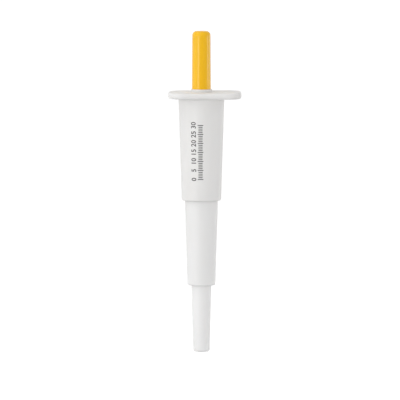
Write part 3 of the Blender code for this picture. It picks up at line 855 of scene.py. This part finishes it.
class GeometryTree:
    """A geometry node tree with named inputs, and the modifier that runs it."""

    KINDS = {type(None): "NodeSocketGeometry", int: "NodeSocketInt", float: "NodeSocketFloat"}

    def __init__(self, name: str, inputs: Mapping[str, float | int | None]) -> None:
        """Make the tree and its interface.

        Args:
            name: The tree's name.
            inputs: The names and values of its inputs, where None stands for the geometry.
        """
        self.inputs = inputs
        self.tree = bpy.data.node_groups.new(name, "GeometryNodeTree")
        self.tree.interface.new_socket("Geometry", in_out="OUTPUT", socket_type="NodeSocketGeometry")
        for title, value in inputs.items():
            self.tree.interface.new_socket(title, in_out="INPUT", socket_type=self.KINDS[type(value)])
        self.graph = Graph(self.tree)
        self.given = self.graph.node("NodeGroupInput")

    def close(self, geometry: Signal, material: bpy.types.Material) -> None:
        """End the tree in Realize Instances and Set Material.

        Args:
            geometry: What the tree has made.
            material: The material of all of it.
        """
        realized = self.graph.node("GeometryNodeRealizeInstances", None, {"Geometry": geometry})["Geometry"]
        smooth = self.graph.node("GeometryNodeSetShadeSmooth", None, {"Geometry": realized})["Geometry"]
        values = {"Geometry": smooth, "Material": material}
        dressed = self.graph.node("GeometryNodeSetMaterial", None, values)["Geometry"]
        self.graph.node("NodeGroupOutput", None, {"Geometry": dressed})

    def run(self, made: bpy.types.Object) -> None:
        """Run the tree on an object and keep the mesh that it makes.

        Args:
            made: The object that carries the modifier.
        """
        modifier = made.modifiers.new(self.tree.name, "NODES")
        modifier.node_group = self.tree
        for item in self.tree.interface.items_tree:
            if item.in_out == "INPUT" and self.inputs[item.name] is not None:
                modifier[item.identifier] = self.inputs[item.name]
        bake(made)


def empty_mesh(name: str) -> bpy.types.Object:
    """Return a new object with an empty mesh at the origin."""
    return show(name, bpy.data.meshes.new(name))


@dataclass
class Spring:
    """Compression spring with a close coil at each end.

    Attributes:
        node: The CAD node that it stands for.
        radius: Radius at the middle of the wire.
        wire: Diameter of the wire.
        turns: Number of turns.
        body: The body that it stands on.
        joint: The name of its joint, or nothing; a spring with a joint gets a mesh of its own.
        travel: How far that joint presses it together; not used.
    """

    node: str
    radius: float
    wire: float
    turns: int
    body: str
    joint: str = ""
    travel: float = 0.0
    close_share: float = 1.3
    steps: int = 40
    wire_sides: int = 14

    def build(self) -> None:
        """Wind the wire in a geometry tree and let it stand for its CAD node."""
        low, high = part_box(self.node)
        tree = GeometryTree(f"wind_{self.node}", {
            "Radius": self.radius,
            "Wire Diameter": self.wire,
            "Turns": self.turns,
            "Length": high.z - low.z,
            "Top": high.z,
            "Steps per Turn": self.steps,
        })
        graph, given = tree.graph, tree.given
        radius, wire, turns = given["Radius"], given["Wire Diameter"], given["Turns"]
        steps = given["Steps per Turn"]
        line = graph.node("GeometryNodeMeshLine", None, {"Count": turns * steps + 1.0})["Mesh"]
        wound = graph.node("GeometryNodeInputIndex")["Index"] / steps
        close_pitch = wire * self.close_share
        open_pitch = (given["Length"] - wire - close_pitch * 2.0) / (turns - 2.0)
        open_turns = (wound - 1.0).math("MAXIMUM", 0.0).math("MINIMUM", turns - 2.0)
        drop = (wound - open_turns) * close_pitch + open_turns * open_pitch
        angle = wound * math.tau
        spot = graph.combine(
            radius * angle.math("COSINE"), radius * angle.math("SINE"), given["Top"] - wire / 2.0 - drop,
        )
        placed = graph.node("GeometryNodeSetPosition", None, {"Geometry": line, "Position": spot})["Geometry"]
        path = graph.node("GeometryNodeMeshToCurve", None, {"Mesh": placed})["Curve"]
        section = graph.node(
            "GeometryNodeCurvePrimitiveCircle", None, {"Resolution": self.wire_sides, "Radius": wire / 2.0},
        )["Curve"]
        values = {"Curve": path, "Profile Curve": section, "Fill Caps": True}
        tree.close(graph.node("GeometryNodeCurveToMesh", None, values)["Mesh"], SPRING_STEEL.material())
        made = empty_mesh(f"{self.node}_wire")
        tree.run(made)
        mount(made, SPRING_STEEL, self.body, self.node)
        if self.joint:
            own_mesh(made)


@dataclass
class Mechanism:
    """Springs and inner pieces, which move as the button is pressed."""

    stroke: float = 9.55 * MM
    blowout: float = 2.15 * MM

    def springs(self) -> tuple[Spring, ...]:
        """Return the three springs."""
        return (
            Spring("return_spring", 2.76 * MM, 0.5 * MM, 9, "carriage", "plunger_slide", self.stroke),
            Spring("blowout_spring", 2.95 * MM, 0.7 * MM, 5, "housing", "blowout_slide", self.blowout),
            Spring("seal_spring", 1.685 * MM, 0.4 * MM, 4, "housing"),
        )

    def finishes(self) -> dict[str, Finish]:
        """Return the finish of each CAD node that stays."""
        groups = {
            NATURAL_PLASTIC: (
                "calibration_lock_ring", "calibration_nut", "stop_sleeve", "piston_holder",
                "blowout_carriage", "barrel_spacer", "seal_pusher",
            ),
            SEAL_PLASTIC: ("piston_seal",),
            BLACK_RUBBER: ("barrel_o_ring", "seal_o_ring"),
            SPRING_STEEL: ("spring_washer", "blowout_washer"),
            POLISHED_STEEL: ("plunger_rod", "piston"),
        }
        return {name: finish for finish, names in groups.items() for name in names}

    def build(self) -> None:
        """Wind the springs and dress the inner CAD nodes."""
        for spring in self.springs():
            spring.build()
        for name, finish in self.finishes().items():
            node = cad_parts[name]
            if not node.material_slots:
                node.data.materials.append(None)
            for socket in node.material_slots:
                socket.material = finish.material()
            LOG.info("%s keeps its CAD shape in %s", name, finish.name)


@dataclass
class PrintedScale:
    """Plain numbers and ticks printed up the front of the housing.

    Attributes:
        foot: Height of the lowest tick.
        top: Height of the highest tick.
        number_angle: Place of the numbers round the housing, from the front towards the right.
        tick_angle: Place of the ticks.
    """

    foot: float = -24.0 * MM
    top: float = -7.75 * MM
    number_angle: float = math.radians(-20.5)
    tick_angle: float = math.radians(-2.4)
    number_height: float = 1.45 * MM
    number_height_share: float = 0.7
    number_weight: float = 0.025 * MM
    values: tuple[int, ...] = (0, 5, 10, 15, 20, 25, 30)
    ticks: int = 31
    tick_width: float = 0.22 * MM
    tick_length: float = 1.25 * MM
    long_tick: float = 1.35
    ink_depth: float = 0.02 * MM
    ink_rise: float = 0.012 * MM
    strip: float = 0.2 * MM

    def wrap(self, name: str, angle: float, finish: Finish, flat: bpy.types.Object) -> bpy.types.Object:
        """Lay a flat print round the housing's taper.

        Args:
            name: The tree's name.
            angle: Its place round the housing.
            finish: Its ink.
            flat: The print, its width along X, its depth along Y and its height along Z.

        Returns:
            The print on the housing.
        """
        housing = Housing()
        low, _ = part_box("upper_housing")
        tree = GeometryTree(name, {
            "Geometry": None,
            "Angle": angle,
            "Top Radius": housing.top_radius,
            "Foot Radius": housing.foot_radius,
            "Length": -low.z,
            "Rise": self.ink_rise,
        })
        graph, given = tree.graph, tree.given
        spot = graph.node("ShaderNodeSeparateXYZ", None, {
            "Vector": graph.node("GeometryNodeInputPosition")["Position"],
        })
        taper = (given["Foot Radius"] - given["Top Radius"]) / given["Length"]
        wall = given["Top Radius"] - spot["Z"] * taper
        turn = spot["X"] / wall + given["Angle"]
        reach = wall + given["Rise"] + spot["Y"]
        around = graph.combine(reach * turn.math("SINE"), -(reach * turn.math("COSINE")), spot["Z"])
        values = {"Geometry": given["Geometry"], "Position": around}
        laid = graph.node("GeometryNodeSetPosition", None, values)["Geometry"]
        outward = graph.node("GeometryNodeFlipFaces", None, {"Mesh": laid})["Mesh"]
        tree.close(outward, finish.material())
        tree.run(flat)
        return flat

    def height(self, share: float) -> float:
        """Return the height at a share of the scale's length."""
        return self.foot + (self.top - self.foot) * share

    def numbers(self) -> None:
        """Print the numbers, turned to read upwards."""
        form = bmesh.new()
        for index, value in enumerate(self.values):
            lettering = bpy.data.curves.new("number", "FONT")
            lettering.body = str(value)
            lettering.size = self.number_height / self.number_height_share
            lettering.offset = self.number_weight
            lettering.align_x = "CENTER"
            lettering.align_y = "CENTER"
            lettering.resolution_u = 4
            holder = show("number", lettering)
            bpy.context.view_layer.update()
            graph = bpy.context.evaluated_depsgraph_get()
            mesh = bpy.data.meshes.new_from_object(holder.evaluated_get(graph))
            bpy.data.objects.remove(holder, do_unlink=True)
            height = self.height(index / (len(self.values) - 1))
            for vertex in mesh.vertices:
                along, up, _ = vertex.co
                vertex.co = (-up, 0.0, height + along)
            form.from_mesh(mesh)
        self.press(form, "scale_numbers", self.number_angle, PALE_INK)

    def press(self, form: bmesh.types.BMesh, name: str, angle: float, finish: Finish) -> None:
        """Give a flat print its thickness and lay it on the housing.

        Args:
            form: The flat print.
            name: The object's name.
            angle: Its place round the housing.
            finish: Its ink.
        """
        bmesh.ops.remove_doubles(form, verts=form.verts, dist=MERGE)
        reach = max(abs(vertex.co.x) for vertex in form.verts)
        cuts = math.ceil(reach / self.strip)
        for cut in range(-cuts, cuts + 1):
            parts = [*form.verts, *form.edges, *form.faces]
            bmesh.ops.bisect_plane(
                form, geom=parts, plane_co=(cut * self.strip, 0.0, 0.0), plane_no=(1.0, 0.0, 0.0),
            )
        bmesh.ops.triangulate(form, faces=form.faces)
        flat = form.faces[:]
        raised = bmesh.ops.extrude_face_region(form, geom=flat)["geom"]
        lifted = [part for part in raised if isinstance(part, bmesh.types.BMVert)]
        bmesh.ops.translate(form, vec=(0.0, -self.ink_depth, 0.0), verts=lifted)
        bmesh.ops.recalc_face_normals(form, faces=form.faces)
        made = empty_mesh(name)
        form.to_mesh(made.data)
        form.free()
        self.wrap(f"wrap_{name}", angle, finish, made)
        mount(made, finish, "housing")

    def tick_row(self) -> None:
        """Print the ticks: a row in a geometry tree, each fifth tick longer."""
        tree = GeometryTree("tick_row", {
            "Count": self.ticks,
            "Foot": self.foot,
            "Pitch": (self.top - self.foot) / (self.ticks - 1),
            "Tick Width": self.tick_width,
            "Tick Length": self.tick_length,
            "Long Tick": self.long_tick,
        })
        graph, given = tree.graph, tree.given
        start = graph.combine(0.0, 0.0, given["Foot"])
        pitch = graph.combine(0.0, 0.0, given["Pitch"])
        values = {"Count": given["Count"], "Start Location": start, "Offset": pitch}
        row = graph.node("GeometryNodeMeshLine", None, values)["Mesh"]
        size = graph.combine(given["Tick Length"], self.ink_depth, given["Tick Width"])
        bar = graph.node("GeometryNodeMeshCube", None, {"Size": size, "Vertices X": 8})["Mesh"]
        fifth = graph.node("GeometryNodeInputIndex")["Index"].math("MODULO", 5.0).math("LESS_THAN", 0.5)
        stretch = graph.combine(fifth * (given["Long Tick"] - 1.0) + 1.0, 1.0, 1.0)
        values = {"Points": row, "Instance": bar, "Scale": stretch}
        placed = graph.node("GeometryNodeInstanceOnPoints", None, values)["Instances"]
        tree.close(placed, GREY_INK.material())
        made = empty_mesh("scale_ticks")
        tree.run(made)
        self.wrap("wrap_ticks", self.tick_angle, GREY_INK, made)
        mount(made, GREY_INK, "housing")

    def build(self) -> None:
        """Print the numbers and the ticks."""
        self.numbers()
        self.tick_row()


@dataclass(frozen=True)
class Softbox:
    """One rectangular studio lamp that points at the pipette.

    Attributes:
        name: Its name.
        azimuth: Its direction from the object, in degrees, 0 towards the front and 90 to the right.
        elevation: Its height above the horizon, in degrees.
        width: Its width.
        height: Its height.
        brightness: Its radiance, where 1 is white.
        distance: Its distance.
    """

    name: str
    azimuth: float
    elevation: float
    width: float
    height: float
    brightness: float
    distance: float = 0.7


@dataclass
class Studio:
    """Camera, lamps, pale floor and white surroundings."""

    azimuth: float = 0.0
    elevation: float = 4.4
    distance: float = 3.0
    sensor: float = 36.0
    frame_width: float = 0.120
    aim_height: float = -30.62 * MM
    aim_side: float = -0.42 * MM
    floor_height: float = -120.0 * MM
    floor_radius: float = 4.0
    paper: tuple[float, float] = (0.87, 0.85)
    paper_roughness: float = 0.9
    fibre: float = 2 * MM
    glow: float = 0.65
    ambient: float = 0.53
    lamps: tuple[Softbox, ...] = field(default_factory=lambda: (
        Softbox("left_wall", -80.0, 4.0, 0.90, 0.70, 0.82),
        Softbox("left_band", -38.0, -4.0, 0.18, 0.20, 6.0),
        Softbox("front_left", -18.0, 17.0, 0.34, 0.34, 1.3),
        Softbox("front_right", 34.0, 20.0, 0.40, 0.36, 0.75),
        Softbox("right_band", 86.0, -4.0, 0.22, 0.24, 5.0),
        Softbox("right_back", 128.0, -4.0, 0.30, 0.30, 1.4),
        Softbox("top_left", -50.0, 62.0, 0.50, 0.50, 1.45),
    ))

    @staticmethod
    def direction(azimuth: float, elevation: float) -> Vector:
        """Return the unit vector from the object towards an azimuth and an elevation in degrees."""
        turn, lift = math.radians(azimuth), math.radians(elevation)
        flat = math.cos(lift)
        return Vector((math.sin(turn) * flat, -math.cos(turn) * flat, math.sin(lift)))

    def camera(self) -> None:
        """Place the camera at the photograph's viewing angle."""
        data = bpy.data.cameras.new("camera")
        data.sensor_width = self.sensor
        data.lens = self.sensor * self.distance / self.frame_width
        data.clip_start, data.clip_end = 0.1, 20.0
        made = show("camera", data)
        back = self.direction(self.azimuth, self.elevation)
        right = Vector((0.0, 0.0, 1.0)).cross(back).normalized()
        aim = Vector((0.0, 0.0, self.aim_height)) + right * self.aim_side
        made.location = aim + back * self.distance
        made.rotation_euler = (-back).to_track_quat("-Z", "Y").to_euler()
        bpy.context.scene.camera = made

    def light(self) -> None:
        """Hang the lamps round the pipette."""
        aim = Vector((0.0, 0.0, self.aim_height))
        for lamp in self.lamps:
            data = bpy.data.lights.new(lamp.name, "AREA")
            data.shape = "RECTANGLE"
            data.size, data.size_y = lamp.width, lamp.height
            data.energy = lamp.brightness * math.pi * lamp.width * lamp.height
            made = show(lamp.name, data)
            towards = self.direction(lamp.azimuth, lamp.elevation)
            made.location = aim + towards * lamp.distance
            made.rotation_euler = towards.to_track_quat("Z", "Y").to_euler()
            made.visible_camera = False

    @staticmethod
    def seen(graph: Graph) -> Signal:
        """Return 1 for what the camera sees directly, in a reflection or through the object."""
        path = graph.node("ShaderNodeLightPath")
        seen = path["Is Camera Ray"].math("MAXIMUM", path["Is Glossy Ray"])
        return seen.math("MAXIMUM", path["Is Transmission Ray"])

    def surroundings(self) -> None:
        """Make the world: white where it is seen, and an even pale light elsewhere."""
        world = bpy.data.worlds.new("studio")
        bpy.context.scene.world = world
        world.use_nodes = True
        graph = Graph(world.node_tree)
        background = world.node_tree.nodes["Background"]
        graph.feed(background, "Color", (1.0, 1.0, 1.0, 1.0))
        graph.feed(background, "Strength", self.seen(graph) * (1.0 - self.ambient) + self.ambient)

    def floor(self) -> None:
        """Lay a plain pale floor some way below the pipette, which hangs in its stand."""
        made = empty_mesh("floor")
        form = bmesh.new()
        bmesh.ops.create_circle(form, cap_ends=True, segments=96, radius=self.floor_radius)
        bmesh.ops.translate(form, vec=(0.0, 0.0, self.floor_height), verts=form.verts)
        form.to_mesh(made.data)
        form.free()
        material = bpy.data.materials.new("floor_paper")
        material.use_nodes = True
        graph = Graph(material.node_tree)
        shader = material.node_tree.nodes["Principled BSDF"]
        place = graph.node("ShaderNodeTexCoord")["Object"]
        fibres = graph.noise(place, (self.fibre,) * 3, 4.0)
        pale, dark = (colour(grey, grey, grey) for grey in self.paper)
        graph.feed(shader, "Base Color", graph.blend(fibres, pale, dark))
        graph.feed(shader, "Roughness", self.paper_roughness)
        strength = self.seen(graph) * self.glow
        glow = graph.node("ShaderNodeEmission", None, {"Color": (1.0, 1.0, 1.0, 1.0), "Strength": strength})
        paper = Signal(graph, shader.outputs["BSDF"])
        lit = graph.node("ShaderNodeAddShader", None, {0: paper, 1: glow["Emission"]})
        output = material.node_tree.nodes["Material Output"]
        graph.feed(output, "Surface", lit["Shader"])
        made.data.materials.append(material)

    def build(self) -> None:
        """Set up the camera, the lamps, the world and the floor."""
        bpy.context.scene.view_settings.view_transform = "Standard"
        self.camera()
        self.light()
        self.surroundings()
        self.floor()


def main() -> None:
    """Build every piece, then the studio."""
    logging.basicConfig(level=logging.INFO, format="%(name)s: %(message)s")
    for part in (Studio(), Housing(), Barrel(), Plunger(), Mechanism(), PrintedScale()):
        part.build()


if __name__ == "__main__":
    main()
